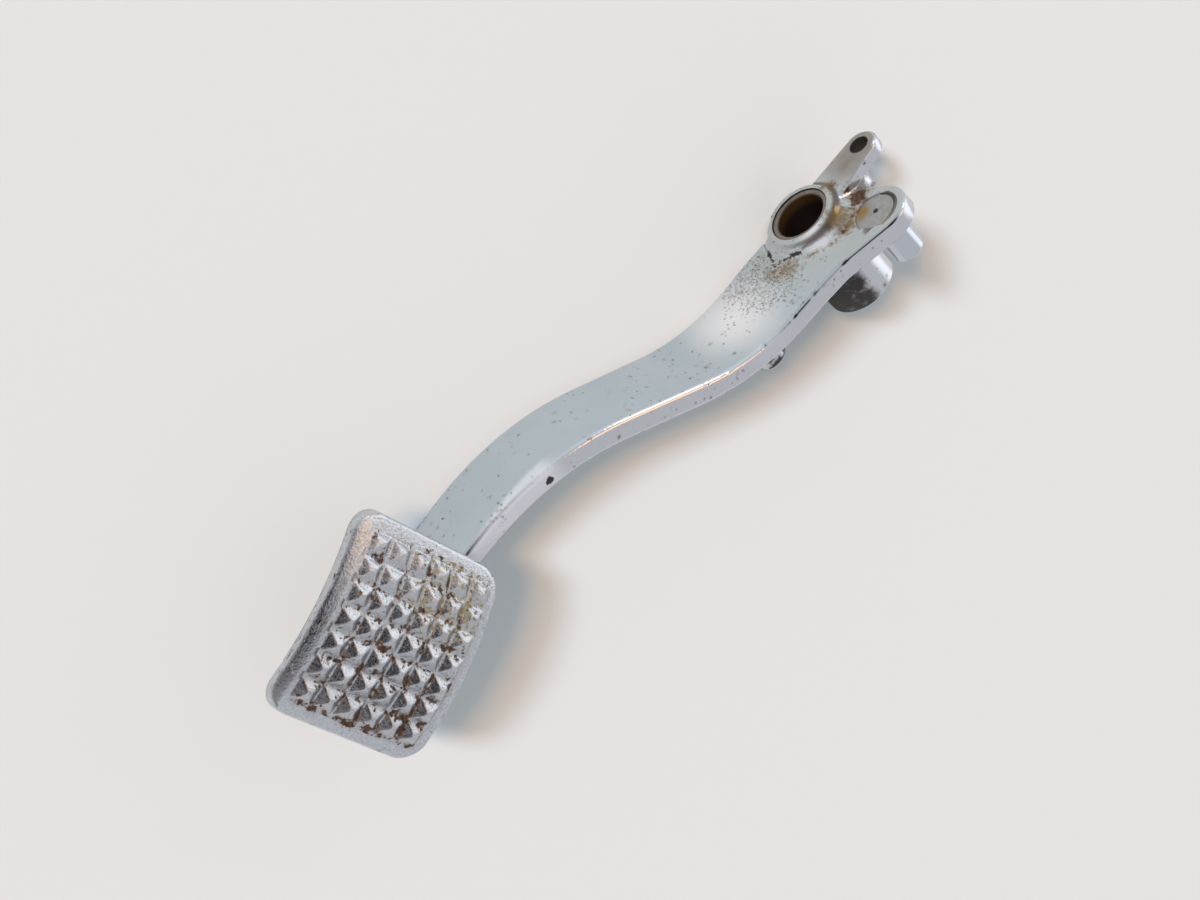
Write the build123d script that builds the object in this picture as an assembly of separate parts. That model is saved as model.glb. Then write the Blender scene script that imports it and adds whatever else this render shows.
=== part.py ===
"""Rear brake pedal for a motorbike, right foot: one plated forging with a bush and two pins.

Working frame: the pivot axis is Y and its outer face is at Y = 0, with X forward to the pad,
Y inward to the machine and Z up out of the tread. Millimetres.
"""

import os
from math import atan2, cos, degrees, radians, sin, tan

from build123d import *

# Pivot boss and bush
bore_dia = 15.0
bush_wall = 1.75
bush_dia = bore_dia + 2 * bush_wall
bush_chamfer = 0.5
boss_wall = 1.75
boss_dia = bush_dia + 2 * boss_wall
boss_length = 34.5
boss_chamfer = 0.5
root_inset = 0.5
bush_recess = 0.4
collar_height = 6.0
collar_rim = 0.5
collar_draft = 24.0
collar_step = 0.6
cove_top = (12.3, 2.4)
cove_foot = (16.2, 5.6)
spot_radius = 13.2
spot_tip = (16.4, 2.9)
spot_tip_radius = 1.0

# Arm: a flat bar, rolled a little about its length and cranked outward to the pad
arm_thick = 7.2
arm_roll = 12.0
roll_height = 2.6
arm_start_x = 20.0
arm_top_z = 19.0
arm_top_slope = -0.160
arm_low_z = -9.7
arm_low_slope = -0.0955
arm_edge = 2.0
heel_x = -4.0
heel_rise = 2.5
ramp_end_x = 21.0
face_level = -0.2
crank_start_x = 47.0
crank_start_drop = 1.2
crank_end_x = 104.0
crank = 41.8
bend_radii = (28.0, 45.0, 60.0, 80.0)

# Web that carries the pad
pad_rear_x = 141.0
web_front_x = 185.0
web_depth_x = 153.0
web_inside_z = 3.6
web_round = 24.0

# Pad and studs
pad_centre = (166.8, -51.4, 16.7)
pad_yaw = 8.2
pad_length = 54.0
pad_outer_side = 23.7
pad_inner_rear = 23.8
pad_inner_front = 25.4
pad_corner = 7.0
pad_thick = 4.8
pad_crown = 2.4
pad_edge = 1.2
pad_bevel = 1.0
row_pitch = 6.55
column_pitch = 6.83
field_forward = -0.2
field_inward = 1.3
stud_overlap = 0.15
stud_tip = 0.8
stud_height = 2.3
stud_sink = 0.6
stud_rows = 7
stud_columns = 6

# Lug with the rod pin
rod_x = -8.2
rod_z = 21.4
rod_lug_radius = 9.4
rod_lug_face = 5.0
rod_lug_thick = 6.8
rod_pin_dia = 9.7
rod_press_dia = 10.4
rod_pin_end = 24.0
rod_head_dia = 12.9
rod_head_thick = 1.6
rod_head_sink = 0.5
rod_centre_dia = 1.8
rod_chamfer = 0.6
rod_lug_run = (14.0, 14.0, 5.0)
lug_edge = 1.5
lug_bevel = 1.0

# Lug with the spring hole
ear_x = -26.6
ear_z = 4.1
ear_radius = 5.5
ear_hole_dia = 5.8
ear_face = 1.5
ear_thick = 4.8
ear_bevel = 0.8
ear_root = (-3.0, 1.0, 7.5)
notch_radius = 4.5
notch_sink = 0.3
notch_thick = 5.0

# Stop pin on the inner face of the arm
stop_x = 38.5
stop_z = 5.0
stop_dia = 10.0
stop_end = 16.0
stop_seat = 3.3
stop_chamfer = 0.6

# Derived sizes
roll_cos = cos(radians(arm_roll))
roll_sin = sin(radians(arm_roll))
tread_radius = ((pad_length / 2) ** 2 + pad_crown**2) / (2 * pad_crown)
far = 260.0


def across(y):
    """Plane square to the pivot axis at depth y: its axes are X and Z, its normal points outward."""
    return Plane(origin=(0, y, 0), x_dir=(1, 0, 0), z_dir=(0, -1, 0))


def plate(outline, y_outer, y_inner):
    return extrude(across(y_inner) * outline, y_inner - y_outer)


def round_bar(x, z, dia, y_outer, y_inner):
    return plate(Pos(x, z) * Circle(dia / 2), y_outer, y_inner)


def hull_of(*circles):
    """Outline round a set of circles, each (x, z, radius)."""
    rings = [Pos(x, z) * Circle(r) for x, z, r in circles]
    return make_hull([edge for ring in rings for edge in ring.edges()])


def top_of_arm(x):
    return arm_top_z + arm_top_slope * (x - arm_start_x)


def low_of_arm(x):
    return arm_low_z + arm_low_slope * (x - arm_start_x)


def shifted(points, gap):
    """The same path moved sideways by gap, with mitred corners."""
    angles = [atan2(q[1] - p[1], q[0] - p[0]) for p, q in zip(points, points[1:])]
    before = [angles[0]] + angles
    after = angles + [angles[-1]]
    moved = []
    for (x, y), a, b in zip(points, before, after):
        middle = (a + b) / 2
        reach = gap / cos((b - a) / 2)
        moved.append((x - reach * sin(middle), y + reach * cos(middle)))
    return moved


def crank_band():
    """Side of the bar seen along its width: two parallel faces through four bends."""
    path = [
        (-far / 4, face_level + heel_rise),
        (heel_x, face_level + heel_rise),
        (ramp_end_x, face_level),
        (crank_start_x, face_level - crank_start_drop),
        (crank_end_x, face_level - crank),
        (far, face_level - crank),
    ]
    turns = (1, -1, 1, -1)
    outer = FilletPolyline(*path, radius=list(bend_radii))
    inner_radii = [r + arm_thick * turn for r, turn in zip(bend_radii, turns)]
    inner = FilletPolyline(*shifted(path, arm_thick), radius=inner_radii)
    ends = [Line(outer @ 0, inner @ 0), Line(outer @ 1, inner @ 1)]
    return make_face(outer.edges() + inner.edges() + ends)


def arm_outline():
    """Face of the bar: straight edges, narrowing to the web under the pad."""
    corners = [
        (heel_x, low_of_arm(heel_x)),
        (web_depth_x, low_of_arm(web_depth_x)),
        (web_front_x, web_inside_z - 2),
        (web_front_x, web_inside_z),
        (pad_rear_x, web_inside_z),
        (pad_rear_x, top_of_arm(pad_rear_x)),
        (heel_x, top_of_arm(heel_x)),
    ]
    radii = [0, web_round, 0, 0, 0, 0, 0]
    return make_face(FilletPolyline(*corners, radius=radii, close=True).edges())


def arm_bar():
    start = (0, 0, roll_height)
    wide = Vector(0, roll_sin, roll_cos)
    deep = Vector(0, roll_cos, -roll_sin)
    face = extrude(Plane(start, x_dir=(1, 0, 0), z_dir=-deep) * arm_outline(), far, both=True)
    band = extrude(Plane(start, x_dir=(1, 0, 0), z_dir=wide) * crank_band(), far, both=True)
    solid = face & band
    rims = []
    for edge in solid.edges():
        way = edge.tangent_at(0.5)
        height = (edge.position_at(0.5) - Vector(*start)).dot(wide)
        in_pad = abs(height - web_inside_z) < 0.1
        if max(abs(way.dot(wide)), abs(way.dot(deep))) < 0.95 and not in_pad:
            rims.append(edge)
    return fillet(rims, arm_edge)


def boss_body():
    """Boss on the pivot axis, with a drafted collar that runs to a point along the arm."""
    top = hull_of((0, 0, boss_dia / 2 + collar_rim), (*spot_tip, spot_tip_radius))
    collar = extrude(across(collar_step) * top, -collar_height, taper=-collar_draft)
    collar = chamfer(collar.edges().group_by(Axis.Y)[0], boss_chamfer)
    spread = degrees(atan2(cove_foot[0] - cove_top[0], cove_foot[1] - cove_top[1]))
    ring = across(cove_foot[1]) * Circle(cove_foot[0])
    cove = extrude(ring, cove_foot[1] - cove_top[1], taper=spread)
    lug_ring = (rod_x, rod_z, rod_lug_radius)
    arm_ring = (arm_start_x, 0, rod_lug_radius)
    under = hull_of((0, 0, boss_dia / 2 - root_inset), lug_ring, arm_ring)
    foot = (collar + cove) & plate(under, -far, far)
    barrel = round_bar(0, 0, boss_dia, 0, boss_length)
    barrel = chamfer(barrel.edges().filter_by(GeomType.CIRCLE), boss_chamfer)
    return foot + barrel


def rod_lug_outline():
    return hull_of((rod_x, rod_z, rod_lug_radius), (0, 0, boss_dia / 2 - root_inset), rod_lug_run)


def ear_outline():
    return hull_of((ear_x, ear_z, ear_radius), ear_root)


def rod_lug():
    """Lug behind the boss that carries the rod pin, rounded outside and bevelled inside."""
    solid = plate(rod_lug_outline(), rod_lug_face, rod_lug_face + rod_lug_thick)
    solid = fillet(solid.edges().group_by(Axis.Y)[0], lug_edge)
    return chamfer(solid.edges().group_by(Axis.Y)[-1], lug_bevel)


def spring_ear():
    """Thin ear behind the boss with the spring hole."""
    solid = plate(ear_outline(), ear_face, ear_face + ear_thick)
    return chamfer(solid.edges().filter_by(Plane.XZ), ear_bevel)


def notch_web():
    """Rounded bottom of the notch between the ear and the rod lug."""
    both = ear_outline() + rod_lug_outline()
    corner = both.vertices().sort_by_distance((ear_x / 2, rod_z / 2, 0))[0]
    arcs = fillet(corner, notch_radius).edges().filter_by(GeomType.CIRCLE)
    arc = min(arcs, key=lambda edge: abs(edge.radius - notch_radius))
    wedge = make_face(Polyline(arc @ 0, (0, 0), arc @ 1, close=True).edges())
    wedge -= Pos(arc.arc_center) * Circle(notch_radius)
    notch_face = rod_lug_face + notch_sink
    return plate(wedge, notch_face, notch_face + notch_thick)


def stud():
    """One worn pyramid, standing on the tread with its foot sunk into it."""
    long = row_pitch + stud_overlap
    slope = atan2((long - stud_tip) / 2, stud_height)
    spread = 2 * stud_sink * tan(slope)
    foot = Rectangle(long + spread, column_pitch + stud_overlap + spread)
    return Pos(0, 0, -stud_sink) * extrude(foot, stud_height + stud_sink, taper=degrees(slope))


def level_rims(slab):
    """Edges that run along the slab, not down its sides."""
    return [edge for edge in slab.edges() if abs(edge.tangent_at(0.5).Z) < 0.5]


def pad_body():
    """Arched foot plate with its field of studs, standing at the pad's own yaw."""
    half = pad_length / 2
    corners = [
        (-half, -pad_outer_side),
        (half, -pad_outer_side),
        (half, pad_inner_front),
        (-half, pad_inner_rear),
    ]
    outline = make_face(FilletPolyline(*corners, radius=pad_corner, close=True).edges())
    axis_z = pad_crown - tread_radius
    lying = Pos(0, 0, axis_z) * Rot(90, 0, 0)
    arch = lying * Cylinder(tread_radius, far) - lying * Cylinder(tread_radius - pad_thick, far)
    slab = extrude(outline, 2 * pad_thick, both=True) & arch
    waist = pad_crown / 4 - pad_thick / 2
    slab = fillet([e for e in level_rims(slab) if e.center().Z > waist], pad_edge)
    slab = chamfer([e for e in level_rims(slab) if e.center().Z < waist], pad_bevel)
    studs = []
    for row in range(stud_rows):
        forward = (row - (stud_rows - 1) / 2) * row_pitch + field_forward
        lean = Rot(0, degrees(forward / tread_radius), 0) * Pos(0, 0, tread_radius)
        for column in range(stud_columns):
            inward = (column - (stud_columns - 1) / 2) * column_pitch + field_inward
            studs.append(Pos(0, inward, axis_z) * lean * stud())
    slab = slab.fuse(*studs)
    return Pos(*pad_centre) * Rot(0, 0, pad_yaw) * slab


def turned_pin(x, z, dia, y_outer, y_inner, bevel):
    """Plain pin along the pivot direction, bevelled at its inner end."""
    pin = round_bar(x, z, dia, y_outer, y_inner)
    return chamfer(pin.edges().sort_by(Axis.Y)[-1], bevel)


def forging():
    """Arm, boss, lugs and pad in one piece, then the machined faces and holes."""
    spot = hull_of((0, 0, spot_radius), (*spot_tip, spot_tip_radius + 0.3))
    lug_back = plate(Pos(heel_x, rod_z) * Rectangle(24, 24), rod_lug_face + rod_lug_thick, far)
    solid = arm_bar() - plate(spot, -far, collar_step) - lug_back
    solid = solid + boss_body() + rod_lug() + spring_ear() + notch_web() + pad_body()
    head_floor = rod_lug_face + rod_head_sink + rod_head_thick
    solid -= round_bar(0, 0, bush_dia, -far, far)
    solid -= round_bar(rod_x, rod_z, rod_press_dia, -far, far)
    solid -= round_bar(rod_x, rod_z, rod_head_dia, -far, head_floor)
    solid -= round_bar(ear_x, ear_z, ear_hole_dia, -far, far)
    solid -= round_bar(stop_x, stop_z, stop_dia, stop_seat, far)
    return solid


def pivot_bush():
    y_in = boss_length - bush_recess
    tube = round_bar(0, 0, bush_dia, bush_recess, y_in) - round_bar(0, 0, bore_dia, -far, far)
    mouths = [e for e in tube.edges().filter_by(GeomType.CIRCLE) if e.radius < bush_dia / 2 - 0.1]
    return chamfer(mouths, bush_chamfer)


def rod_pin():
    """Headed pin: the head sits in the lug's counterbore and has a turning centre."""
    head_top = rod_lug_face + rod_head_sink
    head_floor = head_top + rod_head_thick
    head = round_bar(rod_x, rod_z, rod_head_dia, head_top, head_floor)
    centre = across(head_top) * Pos(rod_x, rod_z) * Cone(0, rod_centre_dia / 2, rod_centre_dia / 2)
    lug_inner = rod_lug_face + rod_lug_thick
    pressed = round_bar(rod_x, rod_z, rod_press_dia, head_floor, lug_inner)
    stub = turned_pin(rod_x, rod_z, rod_pin_dia, lug_inner, rod_pin_end, rod_chamfer)
    return head - centre + pressed + stub


def stop_pin():
    return turned_pin(stop_x, stop_z, stop_dia, stop_seat, stop_end, stop_chamfer)


# The shared frame has its origin in the middle of the pivot bore
middle = Pos(0, -boss_length / 2, 0)

pieces = {
    "pedal_forging": forging(),
    "pivot_bush": pivot_bush(),
    "rod_pin": rod_pin(),
    "stop_pin": stop_pin(),
}

os.makedirs("parts", exist_ok=True)
for name, solid in pieces.items():
    export_step(middle * solid, f"parts/{name}.step")
    print(name, round(solid.volume), len(solid.solids()), solid.is_valid)
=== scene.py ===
# %% [markdown]
# # A worn rear brake pedal
# The real object is one steel forging for the right foot of a motorbike: a boss that turns on a pivot, a
# flat arm that cranks outward, and a studded pad. It was polished, chromed and then used for years.
# The CAD model gives every solid its size and place, so this lesson loads it as a fixed frame and spends its
# work on the worn surface: a fuller arch, rounded studs, pits through the plate, rust and old grease.

# %% Load the frame
from math import cos, radians, sqrt, tanh

import bmesh
import bpy
from mathutils import Euler, Matrix, Vector, kdtree, noise


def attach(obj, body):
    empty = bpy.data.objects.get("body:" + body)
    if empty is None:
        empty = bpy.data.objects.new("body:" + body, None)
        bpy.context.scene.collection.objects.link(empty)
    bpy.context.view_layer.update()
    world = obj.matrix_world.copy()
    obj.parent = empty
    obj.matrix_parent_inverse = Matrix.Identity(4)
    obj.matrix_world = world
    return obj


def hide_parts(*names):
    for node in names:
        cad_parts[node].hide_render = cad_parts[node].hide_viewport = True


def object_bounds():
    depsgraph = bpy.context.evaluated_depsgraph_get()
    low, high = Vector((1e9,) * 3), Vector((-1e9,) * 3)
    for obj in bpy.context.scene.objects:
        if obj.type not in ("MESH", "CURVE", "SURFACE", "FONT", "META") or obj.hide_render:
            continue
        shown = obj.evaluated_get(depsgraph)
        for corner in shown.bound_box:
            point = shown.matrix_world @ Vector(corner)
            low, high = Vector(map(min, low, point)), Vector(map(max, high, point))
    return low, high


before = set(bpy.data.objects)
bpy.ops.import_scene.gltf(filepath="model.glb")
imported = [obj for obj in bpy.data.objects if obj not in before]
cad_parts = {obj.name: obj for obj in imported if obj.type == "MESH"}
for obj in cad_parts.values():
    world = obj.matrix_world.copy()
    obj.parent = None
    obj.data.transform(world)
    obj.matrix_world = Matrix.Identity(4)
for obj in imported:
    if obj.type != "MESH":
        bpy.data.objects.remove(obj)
cad_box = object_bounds()
mm = 0.001
scene = bpy.context.scene
print("nodes:", sorted(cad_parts))
print("CAD box in mm:", [[round(v / mm, 1) for v in corner] for corner in cad_box])

# %% [markdown]
# ## The camera
# The photograph looks down on the pedal from the outer side, with the pad at the lower left and the boss at
# the upper right. A camera could be aimed with a constraint, but the roll matters here, so its place and its
# three angles are set outright. A 56 mm lens on a 36 mm sensor gives the same perspective.

# %% Camera
camera = bpy.data.objects.new("photo_camera", bpy.data.cameras.new("photo_camera"))
camera.data.lens = 56.0
camera.data.sensor_width = 36.0
camera.data.clip_start = 0.01
camera.location = (183.3 * mm, -339.25 * mm, 399.3 * mm)
camera.rotation_euler = Euler((radians(-15.222), radians(-36.160), radians(131.408)))
scene.collection.objects.link(camera)
scene.camera = camera
scene.view_settings.view_transform = "Standard"
print("camera distance to the pivot in mm:", round(camera.location.length / mm))

# %% [markdown]
# ## Two small helpers for materials
# Colours are written as the sRGB hex codes that a picture editor shows, and the shader wants linear light, so
# one function converts them. A second one adds any node, sets its properties and fills its sockets, either
# with a value or with a link from another node.

# %% Colour and node helpers
def linear(code):
    """Linear light, with an alpha of 1, from an sRGB hex code."""
    parts = [int(code[i : i + 2], 16) / 255 for i in (1, 3, 5)]
    return [v / 12.92 if v <= 0.04045 else ((v + 0.055) / 1.055) ** 2.4 for v in parts] + [1.0]


def add(tree, kind, sockets=None, **settings):
    """A new node with its properties set and its sockets filled or linked."""
    node = tree.nodes.new(kind)
    for name, value in settings.items():
        setattr(node, name, value)
    for name, value in (sockets or {}).items():
        if isinstance(value, bpy.types.NodeSocket):
            tree.links.new(value, node.inputs[name])
        else:
            node.inputs[name].default_value = value
    return node


print("chrome grey as linear light:", [round(v, 3) for v in linear("#b4bec4")[:3]])

# %% [markdown]
# ## Floor
# The floor is one large square at the lowest point of the CAD box. It could be a backdrop that curves up
# behind the pedal, but the photograph's camera looks down, so a flat square is all that it sees.

# %% Floor
half_side = 4.0
floor_mesh = bpy.data.meshes.new("floor")
square = bmesh.new()
bmesh.ops.create_grid(square, x_segments=1, y_segments=1, size=half_side)
bmesh.ops.translate(square, verts=square.verts, vec=(0, 0, cad_box[0].z))
square.to_mesh(floor_mesh)
square.free()
floor = bpy.data.objects.new("floor", floor_mesh)
scene.collection.objects.link(floor)

# Matt pale floor: plain, with no highlight of its own, so the eye finds only the pedal's shadow on it.
matt = bpy.data.materials.new("matt_pale_floor")
matt.use_nodes = True
shader = matt.node_tree.nodes["Principled BSDF"]
shader.inputs["Base Color"].default_value = linear("#e8ebe5")
shader.inputs["Roughness"].default_value = 0.7
shader.inputs["Specular IOR Level"].default_value = 0.2
floor_mesh.materials.append(matt)
print("floor height in mm:", round(cad_box[0].z / mm, 2))

# %% [markdown]
# ## Sky
# Chrome shows its surroundings. Here they are almost the same brightness all round, so the sky is one pale
# colour with a few soft round patches: a window low behind the boss, lamps high up, and a dark end of the
# room, which is what turns one flank of each stud dark. A panorama picture would do too, but patches can be
# aimed and dimmed one by one. What the sky gives to matt surfaces is plain and dimmer than what the chrome
# sees, which keeps the shadows as deep as they are in the photograph. Two more helpers come first, because
# each patch needs a soft rim and a mix of two colours.

# %% Ramps and mixes
def ramp(tree, value, start, end, low=0.0, high=1.0, kind="SMOOTHSTEP"):
    """Low up to the start of a value's range, high from its end on, and a smooth or even climb between."""
    span = {"Value": value, "From Min": start, "From Max": end, "To Min": low, "To Max": high}
    return add(tree, "ShaderNodeMapRange", span, interpolation_type=kind).outputs["Result"]


def mixed(tree, amount, first, second):
    """The first colour where the amount is 0, the second where it is 1."""
    sockets = {0: amount, 6: first, 7: second}
    return add(tree, "ShaderNodeMix", sockets, data_type="RGBA").outputs[2]


print("helpers for the sky and the finishes: ramp, mixed")

# %% Sky
sky = bpy.data.worlds.new("pale_room")
scene.world = sky
sky.use_nodes = True
tree = sky.node_tree
tree.nodes.clear()
way = add(tree, "ShaderNodeTexCoord").outputs["Generated"]
glow = linear("#d5d6da")
for name, towards, rim, core, colour, strength in (
    ("low window", (-0.84, 0.45, 0.30), 30, 10, "#f6faff", 1.6),
    ("pale wall", (-0.80, -0.45, 0.25), 40, 10, "#f2f4f8", 1.0),
    ("dark end of the room", (0.17, -0.54, 0.825), 28, 19, "#261e1e", 1.0),
    ("white lamp", (-0.80, -0.22, 0.48), 11, 7, "#ffffff", 3.0),
    ("warm lamp", (-0.59, 0.08, 0.80), 10, 6, "#ffc795", 2.4),
    ("warm lamp's far end", (-0.45, -0.04, 0.89), 9, 5, "#ffd2a8", 2.2),
):
    aim = {0: way, 1: Vector(towards).normalized()}
    near = add(tree, "ShaderNodeVectorMath", aim, operation="DOT_PRODUCT").outputs["Value"]
    amount = ramp(tree, near, cos(radians(rim)), cos(radians(core)))
    tint = [v * strength for v in linear(colour)[:3]] + [1.0]
    glow = mixed(tree, amount, glow, tint)
    print("sky patch:", name, "within", rim, "degrees")
on_matt = add(tree, "ShaderNodeLightPath").outputs["Is Diffuse Ray"]
glow = mixed(tree, on_matt, glow, linear("#a9aeb8"))
room = add(tree, "ShaderNodeBackground", {"Color": glow, "Strength": 1.0})
add(tree, "ShaderNodeOutputWorld", {"Surface": room.outputs["Background"]})

# %% [markdown]
# ## Lamps
# Two soft suns give the shadows. Area lamps would do as well, but a sun needs only a direction. The cool one
# shines low from the outer side and the warm one from a little higher, so a tan strip runs along the cool
# shadow. Neither shows in the chrome, because the sky's patches already do.

# %% Lamps
for name, towards, softness, strength, colour in (
    ("cool_sun", (0.281, -0.80, 0.53), 9.0, 2.4, "#dce8ff"),
    ("warm_sun", (0.25, -0.715, 0.65), 9.0, 1.3, "#ffc890"),
):
    lamp = bpy.data.objects.new(name, bpy.data.lights.new(name, "SUN"))
    lamp.data.angle = radians(softness)
    lamp.data.energy = strength
    lamp.data.color = linear(colour)[:3]
    lamp.rotation_euler = Vector(towards).to_track_quat("Z", "Y").to_euler()
    lamp.visible_glossy = False
    scene.collection.objects.link(lamp)
    print("lamp:", name, "at", strength, "W/m2")

# %% [markdown]
# ## The forging's skin
# CAD corners are crisp, while a forging is polished before it is plated and its inside corners stay soft. The
# CAD mesh may not be changed, so a copy of it becomes a new piece. The CAD faces don't share their vertices,
# so the copy's are merged first.

# %% Merge a copy of the forging
same_point = 0.0002 * mm
skin = bmesh.new()
skin.from_mesh(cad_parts["pedal_forging"].data)
bmesh.ops.remove_doubles(skin, verts=skin.verts, dist=same_point)
print("merged copy:", len(skin.verts), "vertices,", len(skin.faces), "faces")

# %% [markdown]
# ## Finer triangles where they are needed
# The copy's triangles are too long to be bent or rounded. A Remesh modifier would cut up the whole forging
# and blur its crisp edges, so one function halves only the long edges of chosen faces. It takes edges and
# vertices in the mesh's own order, so each run gives the same skin, and it merges the slivers that the
# halving leaves, so the piece stays light. The price is that the skin isn't a watertight mesh any more.

# %% Refine chosen faces
sliver = 0.05 * mm


def refine(test, longest, rounds=7):
    """Halve the chosen faces' edges, in a few rounds, until none is too long, and merge slivers."""
    for _ in range(rounds):
        chosen = {e for f in skin.faces if test(f) for e in f.edges}
        long_edges = [e for e in skin.edges if e in chosen and e.calc_length() > longest]
        if not long_edges:
            break
        bmesh.ops.subdivide_edges(skin, edges=long_edges, cuts=1)
        bmesh.ops.triangulate(skin, faces=[f for f in skin.faces if len(f.verts) > 3])
    crowded = {v for f in skin.faces if test(f) for v in f.verts}
    bmesh.ops.remove_doubles(skin, verts=[v for v in skin.verts if v in crowded], dist=sliver)


print("slivers under", sliver / mm, "mm will be merged")

# %% [markdown]
# ## A fuller arch for the pad
# The pad is arched from rear to front. Its reflections and its bowed side edges in the photograph say that
# the arch rises about twice as high as in the CAD solid, so the copy is bent to the fuller one. A Simple
# Deform modifier could do that, but it would also turn the ends. Lifting each vertex by the difference of the
# two arcs keeps the ends of the pad, and so its joint with the arm, exactly where they were.

# %% Bend the pad
pad_centre = Vector((166.8, -68.65, 16.7)) * mm
pad_yaw = radians(8.2)
pad_length = 54.0 * mm
cad_rise, full_rise = 2.4 * mm, 4.8 * mm
bent_edge = 4.5 * mm
to_pad = Matrix.Rotation(-pad_yaw, 4, "Z") @ Matrix.Translation(-pad_centre)
up_from_pad = to_pad.to_3x3().inverted() @ Vector((0, 0, 1))


def arch(along, rise):
    """Height of an arc over its chord, which is as long as the pad."""
    arc_radius = (pad_length**2 / 4 + rise**2) / (2 * rise)
    return rise - arc_radius + sqrt(arc_radius**2 - along**2)


def beside_pad(point):
    """True between the two ends of the pad."""
    return abs((to_pad @ point).x) < pad_length / 2


refine(lambda f: beside_pad(f.calc_center_median()), bent_edge)
lifted = [v for v in skin.verts if beside_pad(v.co)]
for v in lifted:
    along = (to_pad @ v.co).x
    v.co += up_from_pad * (arch(along, full_rise) - arch(along, cad_rise))
print("pad:", len(lifted), "vertices bent to a rise of", full_rise / mm, "mm")

# %% [markdown]
# ## Worn studs
# The tread has 7 rows of 6 pyramids. Boots have rounded them, most of all at the rear. A Bevel modifier would
# round all of them alike. Here each vertex of the field is moved along the pad's own height: a curve that
# flattens towards a limit leaves the foot of a stud alone and rounds its tip. The limit grows from row to
# row, and a little noise stops the studs from looking cloned.

# %% Stud field
rows, columns = 7, 6
row_pitch, column_pitch = 6.55 * mm, 6.83 * mm
field_middle = Vector((-0.2, 1.3, 0)) * mm
field_edge, field_skirt = 0.6 * mm, 0.3 * mm
tread_slack = 0.1 * mm


def above_tread(point):
    """Height over the arched tread, or far below it for a point away from the pad."""
    spot = to_pad @ point
    return spot.z - arch(spot.x, full_rise) if beside_pad(point) else -1.0


def in_field(point, margin=0.0):
    """True over the rows and columns of studs, with a margin round them."""
    spot = to_pad @ point - field_middle
    in_rows = abs(spot.x) < rows / 2 * row_pitch + margin
    in_columns = abs(spot.y) < columns / 2 * column_pitch + margin
    return in_rows and in_columns and above_tread(point) > -tread_slack


refine(lambda f: in_field(f.calc_center_median(), field_skirt), field_edge)
field = [v for v in skin.verts if in_field(v.co)]
print("stud field:", len(field), "vertices")

# %% Wear the studs
rear_limit, row_gain, stud_spread = 1.3, 0.5, 0.6
rear_fill, row_loss = 0.55, 0.05
steepness = 1.1
grain_height, grain_size = 0.1 * mm, 1.5 * mm
# Steps through the noise that are long enough for neighbours to differ.
row_step, column_step = 3.7, 5.1


def relax(verts, rounds):
    """Move each vertex halfway to the middle of its neighbours, a few times over."""
    every_axis = {"use_axis_x": True, "use_axis_y": True, "use_axis_z": True}
    for _ in range(rounds):
        bmesh.ops.smooth_vert(skin, verts=verts, factor=0.5, **every_axis)


for v in field:
    spot = to_pad @ v.co - field_middle
    row = min(rows - 1, max(0, round(spot.x / row_pitch + (rows - 1) / 2)))
    column = round(spot.y / column_pitch + (columns - 1) / 2)
    chance = noise.noise(Vector((row * row_step, column * column_step, 0.5)))
    limit = (rear_limit + row_gain * row + stud_spread * chance) * mm
    filled = (rear_fill - row_loss * row) * mm
    height = above_tread(v.co)
    grain = grain_height * noise.fractal(v.co / grain_size, 1.0, 2.0, 3)
    worn = limit * tanh(steepness * max(0.0, height - filled) / limit)
    v.co += up_from_pad * (worn - height + grain)
relax(field, rounds=3)
print("tallest stud now in mm:", round(max(above_tread(v.co) for v in field) / mm, 2))

# %% [markdown]
# ## A rolled outer margin
# On the real pad the strip outside the studs isn't flat: it rolls down towards the outer side, and that roll
# is what catches the light at the rear and the dark at the front. A straight slope would crease where it
# starts, so the strip's vertices drop along a hyperbola, which starts level and soon turns into an even
# slope, steeper towards the front.

# %% Roll the margin
margin_start = -19.2 * mm
margin_depth = 1.3 * mm
margin_edge = 1.1 * mm
middle_slope, slope_gain = 0.42, 0.3
turn = 1.0 * mm


def on_margin(point):
    """True on the strip outside the studs, down to a little below the tread."""
    spot = to_pad @ point
    return spot.y < margin_start and above_tread(point) > -margin_depth


refine(lambda f: on_margin(f.calc_center_median()), margin_edge)
rolled = [v for v in skin.verts if on_margin(v.co)]
for v in rolled:
    spot = to_pad @ v.co
    slope = middle_slope + slope_gain * spot.x / pad_length
    out = margin_start - spot.y
    v.co -= up_from_pad * slope * (sqrt(out**2 + turn**2) - turn)
print("rolled margin:", len(rolled), "vertices")

# %% [markdown]
# ## Soft inside corners
# An edge is an inside corner where its two faces fold towards each other. The Bevel modifier can round such
# edges, but not where many of them meet at odd angles. Instead, points along them go into a k-d tree, which
# quickly answers how far the nearest corner is, and vertices close to one are relaxed, which draws a small
# cove there. The seats of the two pressed pins are machined, so they stay crisp.

# %% Find the inside corners
rod_axis, stop_axis = (-8.2, 21.4), (38.5, 5.0)
rod_clear, stop_clear = 7.0 * mm, 5.5 * mm
stud_clear = 1.5 * mm
fold = radians(12)
spacing = 0.4 * mm


def off_line(point, axis):
    """Distance from a line along Y through an x and a z in mm."""
    return Vector((point.x - axis[0] * mm, point.z - axis[1] * mm)).length


def worth_softening(edge):
    """True for an inside corner away from the studs and the pins."""
    middle = (edge.verts[0].co + edge.verts[1].co) / 2
    if in_field(middle, stud_clear) or not edge.is_manifold:
        return False
    if off_line(middle, rod_axis) < rod_clear or off_line(middle, stop_axis) < stop_clear:
        return False
    return edge.calc_face_angle_signed() < -fold


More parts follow.
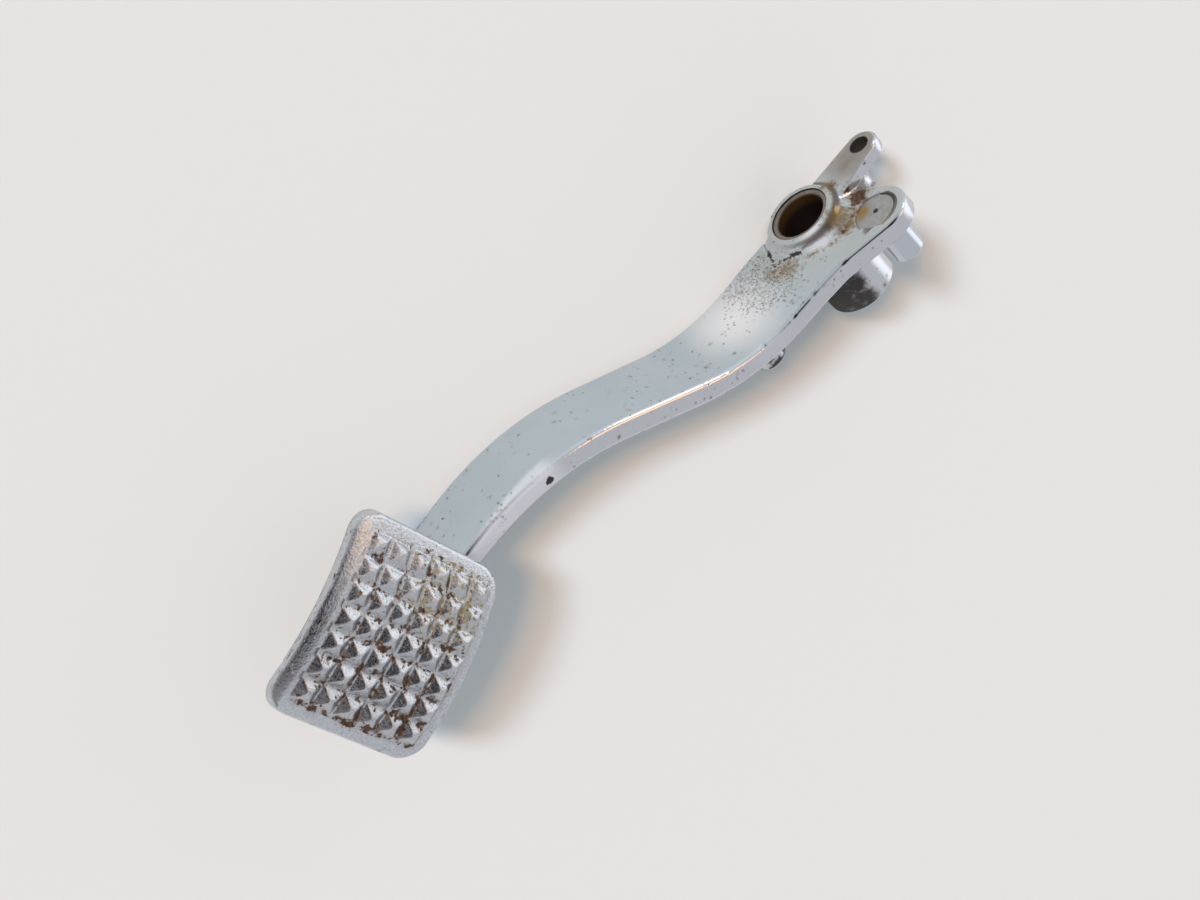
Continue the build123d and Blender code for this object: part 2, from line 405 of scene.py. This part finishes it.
corner_points = []
for edge in filter(worth_softening, skin.edges):
    start, end = (v.co.copy() for v in edge.verts)
    steps = max(1, int((end - start).length / spacing))
    corner_points += [start.lerp(end, i / steps) for i in range(steps + 1)]
corners = kdtree.KDTree(len(corner_points))
for i, point in enumerate(corner_points):
    corners.insert(point, i)
corners.balance()
print("inside corner points:", len(corner_points))

# %% Soften them
cove_strip, cove_edge, cove_size = 1.6 * mm, 0.95 * mm, 1.1 * mm


def from_corner(point):
    """Distance to the nearest inside corner."""
    return corners.find(point)[2]


def near_corner(face):
    """True for a face that reaches into the strip along an inside corner."""
    probes = [face.calc_center_median()] + [v.co for v in face.verts]
    return min(from_corner(p) for p in probes) < cove_strip


refine(near_corner, cove_edge)
relaxed = [v for v in skin.verts if from_corner(v.co) < cove_size]
relax(relaxed, rounds=6)
print("relaxed vertices:", len(relaxed))

# %% [markdown]
# ## Where dirt gathers
# Dirt and rust gather in inside corners and between the studs, and the inside corner at the foot of the ledge
# also gets painted shade. A painted picture could show that, but the distances are already known here, so
# they are kept on the mesh as two attributes that the material reads.

# %% Keep the distances on the mesh
corner_reach = 2.0 * mm
dirt_height = 3.6 * mm
dirt_skirt, dirt_fade = 1.0 * mm, 2.0 * mm
rear_dirt, front_gain = 0.70, 0.33
corner_layer = skin.verts.layers.float.new("corner")
valley_layer = skin.verts.layers.float.new("valley")
for v in skin.verts:
    v[corner_layer] = max(0.0, 1 - from_corner(v.co) / corner_reach)
    if in_field(v.co, dirt_skirt):
        low = min(1.0, max(0.0, 1 - above_tread(v.co) / dirt_height))
        spot = to_pad @ v.co - field_middle
        forward = spot.x / pad_length + 0.5
        inside = columns / 2 * column_pitch - abs(spot.y) + dirt_skirt
        v[valley_layer] = low * (rear_dirt + front_gain * forward) * min(1.0, inside / dirt_fade)
print("vertices near a corner:", sum(v[corner_layer] > 0 for v in skin.verts))
print("vertices between studs:", sum(v[valley_layer] > 0 for v in skin.verts))

# %% [markdown]
# ## The finished skin
# The copy becomes an object that rides on the pedal's body and stands for the CAD forging. Smooth shading
# with sharp edges kept, and normals weighted by face size, make large flats look flat next to small rounds.

# %% Make the piece
crease = radians(32)
skin_mesh = bpy.data.meshes.new("plated_forging")
skin.to_mesh(skin_mesh)
skin.free()
skin_mesh.shade_smooth()
skin_mesh.set_sharp_from_angle(angle=crease)
forging = bpy.data.objects.new("plated_forging", skin_mesh)
scene.collection.objects.link(forging)
evened = forging.modifiers.new("even_normals", "WEIGHTED_NORMAL")
evened.keep_sharp = True
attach(forging, "root")
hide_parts("pedal_forging")
print("skin:", len(skin_mesh.polygons), "triangles")

# %% [markdown]
# ## Masks
# Every mark on the pedal is a mask: a number that is 1 where the mark is and 0 elsewhere. Masks could be
# painted on a picture, but the pedal has no unwrapped surface, so they are worked out from the place of each
# point: in a ball round a spot, between two lengths, or round an axis. A noise then breaks up their edges.

# %% Masks by place
far = 999


def patch(tree, place, centre, radius, soft=0.6):
    """1 in a ball round a spot on the pedal, in mm, fading to 0 at its rim."""
    away = add(tree, "ShaderNodeVectorMath", {0: place, 1: Vector(centre) * mm}, operation="DISTANCE")
    return ramp(tree, away.outputs["Value"], radius * mm, radius * (1 - soft) * mm)


def band(tree, value, rise, fall, soft):
    """1 where a length lies between two values in mm, with soft ends."""
    up = ramp(tree, value, (rise - soft) * mm, (rise + soft) * mm)
    down = ramp(tree, value, (fall + soft) * mm, (fall - soft) * mm)
    return add(tree, "ShaderNodeMath", {0: up, 1: down}, operation="MULTIPLY").outputs[0]


def off_axis(tree, place, axis):
    """Distance from a line along Y through an x and a z in mm."""
    foot = Vector((axis[0], 0, axis[1])) * mm
    moved = add(tree, "ShaderNodeVectorMath", {0: place, 1: foot}, operation="SUBTRACT").outputs[0]
    flat = add(tree, "ShaderNodeVectorMath", {0: moved, 1: (1, 0, 1)}, operation="MULTIPLY").outputs[0]
    return add(tree, "ShaderNodeVectorMath", {0: flat}, operation="LENGTH").outputs["Value"]


print("masks without an end run to", far, "mm")

# %% Masks put together
def joined(tree, operation, *masks):
    """Run one Math operation along a row of masks."""
    result = masks[0]
    for mask in masks[1:]:
        result = add(tree, "ShaderNodeMath", {0: result, 1: mask}, operation=operation).outputs[0]
    return result


def both(tree, *masks):
    """The product: a mark only where all masks have it, or one mask made weaker by a number."""
    return joined(tree, "MULTIPLY", *masks)


def either(tree, *masks):
    """The strongest of several masks."""
    return joined(tree, "MAXIMUM", *masks)


def inverse(tree, mask):
    """1 where a mask is 0, and 0 where it is 1."""
    return joined(tree, "SUBTRACT", 1.0, mask)


def scaled(tree, value, factor, offset):
    """A value times a factor, plus an offset."""
    return add(tree, "ShaderNodeMath", {0: value, 1: factor, 2: offset}, operation="MULTIPLY_ADD").outputs[0]


def eaten(tree, mask, grain, low, high):
    """Break a mask's edge up with a noise: both are added, and what passes the threshold stays."""
    return ramp(tree, joined(tree, "ADD", mask, grain), low, high)


print("ways to put masks together: both, either, inverse, scaled, eaten")

# %% [markdown]
# ## Worn chrome plate
# Decorative chrome is a hard bluish mirror over nickel. With age the mirror hazes, tiny pits open through the
# plate and rust creeps out of them. The shader is a metal with a slightly blue grey colour and a little
# roughness. Five noises, from the size of a thumb to that of a grain of salt, roughen all that follows.

# %% Chrome: noises
def new_finish(name):
    """A material, its node tree, and the place of the shaded point, whole and as x, y and z."""
    finish = bpy.data.materials.new(name)
    finish.use_nodes = True
    tree = finish.node_tree
    place = add(tree, "ShaderNodeTexCoord").outputs["Object"]
    axes = add(tree, "ShaderNodeSeparateXYZ", {0: place}).outputs
    return finish, tree, place, axes


def cloud(tree, place, size, detail=4.0, roughness=0.5):
    """Noise with features of a size in mm."""
    sockets = {"Vector": place, "Scale": 1 / (size * mm), "Detail": detail, "Roughness": roughness}
    return add(tree, "ShaderNodeTexNoise", sockets).outputs


# Polished steel under bright chrome: a cool, slightly hazed mirror, broken by dark pits and brown corners.
chrome, tree, place, axes = new_finish("worn_chrome_plate")
grains = {}
for size, detail in ((18, 2.0), (7, 2.0), (3, 4.0), (1.2, 4.0), (0.6, 2.0)):
    grains[size] = cloud(tree, place, size, detail, 0.6)
    print("noise with features of", size, "mm")

# %% [markdown]
# ## Where each finish is
# One plate covers the forging, but it aged differently: blue and clear on the arm's outer face, speckled on
# the pad, and satin on the ear. The wall of the spring hole is painted dark as shade, and a near-white patch
# where the arm bends is a painted highlight. Separate meshes would need seams, so the masks use the direction
# of the surface and the place along the pedal.

# %% Chrome: where each finish is
pivot_axis, spring_axis = (0, 0), (-26.6, 4.1)
normal = add(tree, "ShaderNodeNewGeometry").outputs["Normal"]
sides = add(tree, "ShaderNodeSeparateXYZ", {0: normal}).outputs
outward = ramp(tree, sides["Y"], -0.45, -0.85)
radius = off_axis(tree, place, pivot_axis)
on_pad = band(tree, axes["X"], 138, far, 1)
on_arm = both(tree, outward, band(tree, axes["X"], -far, 139, 1))
on_ear = both(tree, outward, patch(tree, place, (-27, -15.5, 4.3), 17, 0.5))
on_boss = both(tree, outward, band(tree, axes["X"], -far, 18, 14))
on_barrel = both(tree, band(tree, radius, 0, 12.2, 0.4), band(tree, axes["Y"], -6, far, 1.5))
# Painted highlight: a near-white patch where the arm bends, brighter than the plate could mirror there.
bend_highlight = patch(tree, place, (38, -19, 3), 20, 0.95)
# Painted shade: the wall of the spring hole, dark and matt.
shaded_hole_wall = band(tree, off_axis(tree, place, spring_axis), 0, 3.1, 0.15)
print("finish masks: pad, arm, ear, boss, barrel, bend, hole")

# %% [markdown]
# ## Pits
# Where the plate is broken, rust eats a small round pit with a tan halo. Each pit sits in a cell of a Voronoi
# pattern, and a cell's random colour decides whether it has one, so they scatter unevenly without a list of
# places. They crowd where the arm leaves the boss. One larger chip lies on the arm's edge, near the pad.

# %% Chrome: pits
drift = {0: grains[0.6]["Color"], "Scale": 0.8 * mm}
drift = add(tree, "ShaderNodeVectorMath", drift, operation="SCALE").outputs["Vector"]
ragged = add(tree, "ShaderNodeVectorMath", {0: place, 1: drift}, operation="ADD").outputs["Vector"]
crowd = eaten(tree, patch(tree, place, (24, -17, 3), 19, 0.95), grains[3]["Fac"], 0.6, 1.3)
cluster = ramp(tree, grains[7]["Fac"], 0.46, 0.64, kind="LINEAR")
halo_size, pit_core = 2.4, 0.45
pits, halos = [], []
for cell, size, common, extra in (
    (2.7, 0.17, 0.28, 0.15),
    (1.3, 0.21, 0.24, 0.55),
    (0.7, 0.30, 0.03, 0.85),
):
    cells = add(tree, "ShaderNodeTexVoronoi", {"Vector": ragged, "Scale": 1 / (cell * mm)}).outputs
    chance = add(tree, "ShaderNodeSeparateColor", {0: cells["Color"]}).outputs[0]
    share = scaled(tree, crowd, extra, both(tree, cluster, common))
    chosen = joined(tree, "LESS_THAN", chance, share)
    for group, reach in ((pits, size), (halos, halo_size * size)):
        group.append(both(tree, ramp(tree, cells["Distance"], reach, pit_core * reach), chosen))
    print("pits in cells of", cell, "mm")
pits = both(tree, either(tree, *pits), 0.9)
halos = both(tree, either(tree, *halos), 0.4)
chip = eaten(tree, patch(tree, place, (109.5, -51, 15.0), 3.0, 1.0), grains[1.2]["Fac"], 1.05, 1.15)

# %% [markdown]
# ## Stains round the boss
# Rust water has left gold and brown stains in the cove round the boss, between the lugs, at the point of the
# collar and at the root of the ear. Each stain is a mask by place. They could be painted, but masks let one
# stain be used twice: gold takes a low threshold and rust a high one, so most of the rust lies inside a
# golden border, as it does on old plate.

# %% Chrome: places of the stains, a painted reflection and a painted shade
blots = [ramp(tree, grains[size]["Fac"], 0.40, 0.66, kind="LINEAR") for size in (3, 1.2)]
uneven = scaled(tree, blots[0], 0.6, 0.5)
lean = scaled(tree, axes["Z"], -0.35, axes["X"])
corner = add(tree, "ShaderNodeAttribute", attribute_name="corner").outputs["Fac"]
cove_ring = band(tree, radius, 14.3, 16.6, 1.2)
cove = both(tree, cove_ring, band(tree, axes["Y"], -17, -10, 1), band(tree, axes["Z"], 9, far, 4), uneven)
between_lugs = patch(tree, place, (-11.5, -12.3, 12.5), 7, 0.9)
tip_low = patch(tree, place, (20, -16.7, 4.5), 8, 1.0)
tip_high = patch(tree, place, (17, -16.2, 8), 8, 1.0)
tip_stain = both(tree, either(tree, tip_low, tip_high), 0.75)
ear_root = patch(tree, place, (-11, -16, 3.5), 6, 0.9)
tinted = patch(tree, place, (-3, -14, 14), 9, 0.8)
# Painted shade, with some rust: a dark line in the inside corner at the foot of the ledge's low wall.
ledge = patch(tree, place, (14, -16, 3), 12, 0.3)
under_ledge = both(tree, corner, ledge, band(tree, radius, 13.2, far, 0.5), 1.25)
# Painted reflection: a dark band round the collar's flank, on one side, stands in for the dark that the flank
# mirrors.
ring = both(tree, band(tree, radius, 10.9, 12.4, 0.5), band(tree, axes["Y"], -18, -12, 1))
collar_dark_reflection = both(tree, ring, band(tree, lean, -far, 9, 5), 0.85)
print("stains: cove, between the lugs, tip, ear root, ledge, collar")

# %% Chrome: gold, rust and painted shade
gold = either(tree, cove, between_lugs, tip_stain, tinted, both(tree, ear_root, 0.8))
gold = both(tree, eaten(tree, gold, both(tree, blots[1], 0.6), 0.45, 1.35), 0.85)
stains = [both(tree, cove, 0.9), between_lugs, both(tree, tip_stain, 0.85), both(tree, ear_root, 0.75)]
boss_rust = eaten(tree, either(tree, *stains), grains[1.2]["Fac"], 1.1, 1.4)
grime_and_shade = eaten(tree, both(tree, under_ledge, uneven), grains[1.2]["Fac"], 1.12, 1.4)
print("rusty stains:", len(stains))

# %% [markdown]
# ## Dirt and a painted reflection on the tread
# Between the studs lie a grey film, caked rust, thickest at the front, and a mossy yellow at the rear. An
# even coat would hide the studs, so the height over the tread, kept on the mesh, places all three. The
# outward flank of each stud is painted darker, more at the front, as a painted reflection of the dark end of
# the room: a mask on the direction of the surface places it.

# %% Chrome: dirt and a painted reflection on the tread
valley = add(tree, "ShaderNodeAttribute", attribute_name="valley").outputs["Fac"]
half = scaled(tree, blots[1], 0.5, 0.5)
caked = eaten(tree, valley, both(tree, blots[0], half), 1.13, 1.38)
film = both(tree, valley, uneven, 0.3)
moss = both(tree, valley, patch(tree, place, (149, -61, 20), 27, 0.8))
moss = both(tree, eaten(tree, moss, both(tree, blots[1], 0.8), 0.85, 1.35), 0.9)
# Painted reflection: the steep outward flanks of the studs are painted dark, as the dark end of the room
# shows in them.
tilt = ramp(tree, sides["Y"], -0.2, -0.42)
upright = ramp(tree, sides["Z"], 0.45, 0.65, kind="LINEAR")
forward = ramp(tree, axes["X"], 135 * mm, 185 * mm, 0.1, 0.65, kind="LINEAR")
stud_flank_dark_reflection = both(tree, tilt, upright, on_pad, forward)
rust = either(tree, boss_rust, pits, caked, chip, grime_and_shade)
print("tread masks: caked rust, film, moss, flank")

# %% [markdown]
# ## Scuffs, painted highlights and grease
# Boots have rubbed the arm's upper edge near the pad to a satin, and its pale colour is also a painted
# highlight. A pale, rougher patch in the cove by the boss is a painted highlight over a dark reflection. Old
# grease sits on the barrel. All are masks by place; only the grease has a broken edge.

# %% Chrome: scuffs, painted highlights and grease
# Painted highlight: the scuffed edge and the cove patch are lighter than the plate, in place of a bright
# streak and of a dark reflection.
scuffs_and_highlights = both(tree, band(tree, axes["X"], 106, 138, 3), band(tree, axes["Z"], 11.5, far, 1), 0.4)
cove_highlight = patch(tree, place, (5.3, -15.9, 10.6), 7, 0.8)
scuffs_and_highlights = either(tree, scuffs_and_highlights, both(tree, cove_highlight, 0.4))
greasy = both(tree, on_barrel, band(tree, lean, -1.5, far, 4))
grease = eaten(tree, greasy, grains[3]["Fac"], 0.95, 1.5)
print("scuffs: arm edge and cove; grease: barrel")

# %% [markdown]
# ## The layers of the plate
# The colour is built like paint: clear plate first, then each mark over what is already there, from the
# widest tint to the darkest rust. Then the same masks take metal away and add roughness, because rust, grease
# and scuffs don't mirror. A shallow bump sinks the rust and gives the pad its grain.

# %% Chrome: colour
rust_specks = ramp(tree, grains[0.6]["Fac"], 0.4, 0.68, kind="LINEAR")
rust_colour = mixed(tree, rust_specks, linear("#1a110a"), linear("#64431f"))
ochre = mixed(tree, grains[1.2]["Fac"], linear("#332811"), linear("#a37c33"))
blue = mixed(tree, grains[18]["Fac"], linear("#b4c6d0"), linear("#ccd6da"))
speckled = mixed(tree, grains[0.6]["Fac"], linear("#a2a6ac"), linear("#e6e9ec"))
satin = mixed(tree, grains[7]["Fac"], linear("#6d6658"), linear("#a9a8a3"))
plate = linear("#cecfd4")
layers = (
    (on_arm, blue),
    (on_boss, linear("#c2cacb")),
    # painted highlight where the arm bends
    (bend_highlight, linear("#fafcfe")),
    (on_pad, speckled),
    (on_ear, satin),
    (film, linear("#7f766a")),
    # painted reflection on the studs' outward flanks
    (stud_flank_dark_reflection, linear("#6e6467")),
    # scuffs, with a painted highlight
    (scuffs_and_highlights, linear("#e6e8ec")),
    # painted reflection on the collar's flank
    (collar_dark_reflection, linear("#584d43")),
    (halos, linear("#8a8068")),
    (gold, ochre),
    (moss, linear("#85763a")),
    (grease, linear("#2b2a28")),
    (rust, rust_colour),
    # Near black: the chip is real, the line under the ledge is partly painted shade, and the spring hole's
    # wall is painted shade.
    (either(tree, chip, grime_and_shade, shaded_hole_wall), linear("#231e1a")),
)
for mask, colour in layers:
    plate = mixed(tree, mask, plate, colour)
print("layers of colour:", len(layers))

# %% Chrome: metal, roughness and bump
# The painted shade in the spring hole and under the ledge is matt as well, as real dirt is.
dirt = either(tree, rust, grease, shaded_hole_wall, moss, both(tree, on_ear, 0.35))
dull = either(tree, dirt, scuffs_and_highlights, both(tree, on_pad, 0.16), both(tree, gold, 0.2))
gloss = ramp(tree, dull, 0.0, 1.0, 0.16, 0.6, kind="LINEAR")
metal = inverse(tree, either(tree, dirt, scuffs_and_highlights))
relief = scaled(tree, rust, -0.3, both(tree, on_pad, grains[0.6]["Fac"]))
bump = {"Height": relief, "Distance": 0.16 * mm, "Strength": 1.0}
bump = add(tree, "ShaderNodeBump", bump).outputs["Normal"]
shader = tree.nodes["Principled BSDF"]
for socket, value in (("Base Color", plate), ("Metallic", metal), ("Roughness", gloss), ("Normal", bump)):
    tree.links.new(value, shader.inputs[socket])
skin_mesh.materials.append(chrome)
print("worn chrome:", len(tree.nodes), "nodes")

# %% [markdown]
# ## Pivot bush
# The bush is a turned steel ring, pressed into the boss. It keeps its CAD mesh, as the two pins do: only the
# material changes. It could be one flat brown, but the ring shines, the bore is painted almost black and matt
# as shade, with a lighter brown at its mouth as painted light, and a dark seam runs round the outside, so
# three masks by radius and depth tell them apart.

# %% Bush
# Turned steel soaked in old grease: a brown-grey ring with a soft shine, and a bore painted almost black as
# shade, lighter at its mouth where light reaches in.
bush, tree, place, axes = new_finish("browned_bush_steel")
grain = cloud(tree, place, 1.5)["Fac"]
radius = off_axis(tree, place, pivot_axis)
# Painted shade: the bore is near black and not metal; painted light: its mouth is a lighter brown.
inside = band(tree, radius, 0, 7.75, 0.15)
lit_bore_mouth = both(tree, inside, band(tree, axes["Y"], -far, -13.5, 1.5))
outer_seam = band(tree, radius, 8.9, far, 0.15)
tone = mixed(tree, grain, linear("#6d655f"), linear("#a2988f"))
for mask, colour in ((inside, "#150e0a"), (lit_bore_mouth, "#33240f"), (outer_seam, "#2e2926")):
    tone = mixed(tree, mask, tone, linear(colour))
shader = tree.nodes["Principled BSDF"]
tree.links.new(tone, shader.inputs["Base Color"])
tree.links.new(inverse(tree, inside), shader.inputs["Metallic"])
shader.inputs["Roughness"].default_value = 0.38
print("bush:", len(tree.nodes), "nodes")

# %% [markdown]
# ## Rod pin
# The pin is turned from bar and pressed through its lug. Its head is dull, with painted shade on part of its
# rim, where it sits in its recess, and in its centre mark, and a yellow stain on the side that faces the
# boss, while its stub still shines. Two materials would need a split mesh, so one material fades from the
# head's finish to the stub's along the pin.

# %% Rod pin
# Turned steel: a cloudy grey head that hardly mirrors, and a stub that is bright where a rod eye rubbed it.
pin, tree, place, axes = new_finish("dull_turned_steel")
grain = cloud(tree, place, 2.0)["Fac"]
head = band(tree, axes["Y"], -far, -9, 1)
radius = off_axis(tree, place, rod_axis)
# Painted shade: a dark crescent on part of the head's rim and a dark dot in its centre mark.
rim = both(tree, band(tree, radius, 5.6, far, 0.5), patch(tree, place, (-12, -11.7, 25), 8, 0.4))
centre = both(tree, head, band(tree, radius, 0, 0.9, 0.3))
grime_and_shade = eaten(tree, either(tree, rim, centre), grain, 0.9, 1.2)
yellow = eaten(tree, patch(tree, place, (-6.8, -11.7, 16.5), 6, 0.95), grain, 0.7, 1.6)
tone = mixed(tree, grain, linear("#8e908e"), linear("#c6c9c9"))
for mask, colour in ((inverse(tree, head), "#c8ccd3"), (yellow, "#a58a4c"), (grime_and_shade, "#2b2520")):
    tone = mixed(tree, mask, tone, linear(colour))
shader = tree.nodes["Principled BSDF"]
tree.links.new(tone, shader.inputs["Base Color"])
tree.links.new(inverse(tree, grime_and_shade), shader.inputs["Metallic"])
tree.links.new(ramp(tree, head, 0.0, 1.0, 0.16, 0.45, kind="LINEAR"), shader.inputs["Roughness"])
print("rod pin:", len(tree.nodes), "nodes")

# %% [markdown]
# ## Stop pin
# Only the end of this short stub shows past the arm. It is chromed and smeared with grease, and the dark
# islands also stand in as painted shade for the arm's shadow on it, so one noise with a high threshold is
# enough: islands of grease and painted shade on plain plate.

# %% Stop pin
# Chromed steel with smears of dried grease: a bright mirror with matt black-brown islands, partly painted
# shade.
stop, tree, place, _ = new_finish("greasy_shaded_chrome")
grease = eaten(tree, 1.0, cloud(tree, place, 3.0)["Fac"], 1.42, 1.6)
shader = tree.nodes["Principled BSDF"]
tree.links.new(mixed(tree, grease, linear("#c4c8ce"), linear("#33312f")), shader.inputs["Base Color"])
tree.links.new(inverse(tree, grease), shader.inputs["Metallic"])
shader.inputs["Roughness"].default_value = 0.22
for name, finish in (("pivot_bush", bush), ("rod_pin", pin), ("stop_pin", stop)):
    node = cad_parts[name]
    node.data.materials.clear()
    node.data.materials.append(finish)
    print(name, "wears", finish.name)
